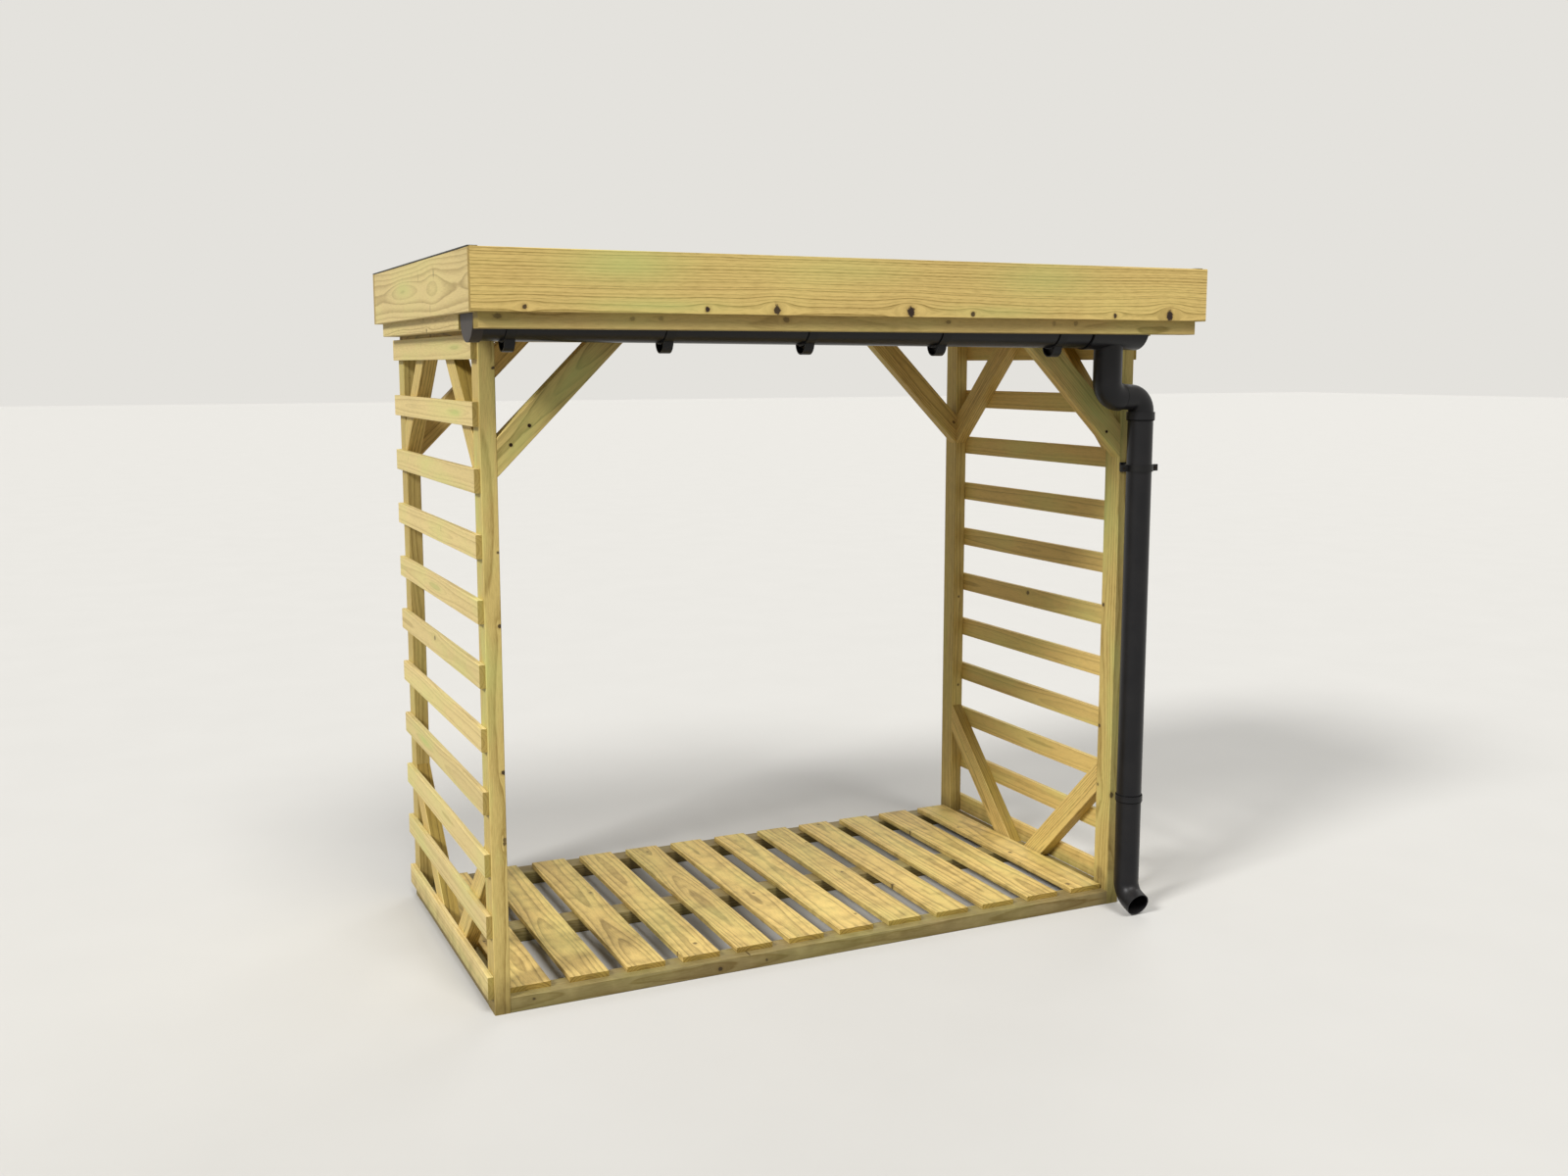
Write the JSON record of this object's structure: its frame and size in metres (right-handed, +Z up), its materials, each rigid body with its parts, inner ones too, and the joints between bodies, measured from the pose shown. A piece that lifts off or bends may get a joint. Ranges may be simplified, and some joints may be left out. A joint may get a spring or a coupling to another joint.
{
  "type": "log store",
  "caption": "Open-fronted log store: knee-braced timber frame, slatted sides, flat roof with deep fascias, half-round gutter, offset downpipe and shoe.",
  "frame": {"origin": "on the ground, at the middle of the overall outline", "axes": "+X along the front to the right, +Y from the open front to the back, +Z up"},
  "size_m": [1.934, 1.121, 1.773],
  "materials": {
    "frame_timber": "planed softwood, pressure treated, pale green straw",
    "rim_timber": "sawn softwood, pressure treated",
    "fascia_timber": "planed softwood board, pressure treated, knotty",
    "slat_timber": "sawn softwood slat, pressure treated",
    "floor_timber": "sawn softwood board, weathered",
    "deck_sheet": "sheathing ply",
    "felt_rubber": "matt mineral roofing felt",
    "gutter_plastic": "satin anthracite",
    "bracket_plastic": "satin anthracite, darker",
    "pipe_plastic": "satin anthracite"
  },
  "bodies": {
    "root": {"post_front_left": "frame_timber", "post_front_right": "frame_timber", "post_back_left": "frame_timber", "post_back_right": "frame_timber", "front_top_beam": "frame_timber", "back_top_beam": "frame_timber", "left_top_rail": "frame_timber", "right_top_rail": "frame_timber", "front_bottom_rail": "frame_timber", "back_bottom_rail": "frame_timber", "left_bottom_rail": "frame_timber", "right_bottom_rail": "frame_timber", "centre_bearer": "frame_timber", "brace_front_left": "frame_timber", "brace_front_right": "frame_timber", "brace_back_left": "frame_timber", "brace_back_right": "frame_timber", "left_side_braces": "frame_timber", "right_side_braces": "frame_timber", "roof_joists": "frame_timber", "firring_strips": "frame_timber", "front_rim_joist": "rim_timber", "left_rim_joist": "rim_timber", "right_rim_joist": "rim_timber", "fascia_front": "fascia_timber", "fascia_back": "fascia_timber", "fascia_left": "fascia_timber", "fascia_right": "fascia_timber", "left_slats": "slat_timber", "right_slats": "slat_timber", "floor_boards": "floor_timber", "roof_deck": "deck_sheet", "roof_felt": "felt_rubber", "gutter": "gutter_plastic", "gutter_stop_end": "gutter_plastic", "gutter_outlet": "gutter_plastic", "gutter_brackets": "bracket_plastic", "upper_bend": "pipe_plastic", "lower_bend": "pipe_plastic", "downpipe": "pipe_plastic", "pipe_clip": "pipe_plastic", "pipe_coupling": "pipe_plastic", "downpipe_shoe": "pipe_plastic"}
  },
  "joints": []
}
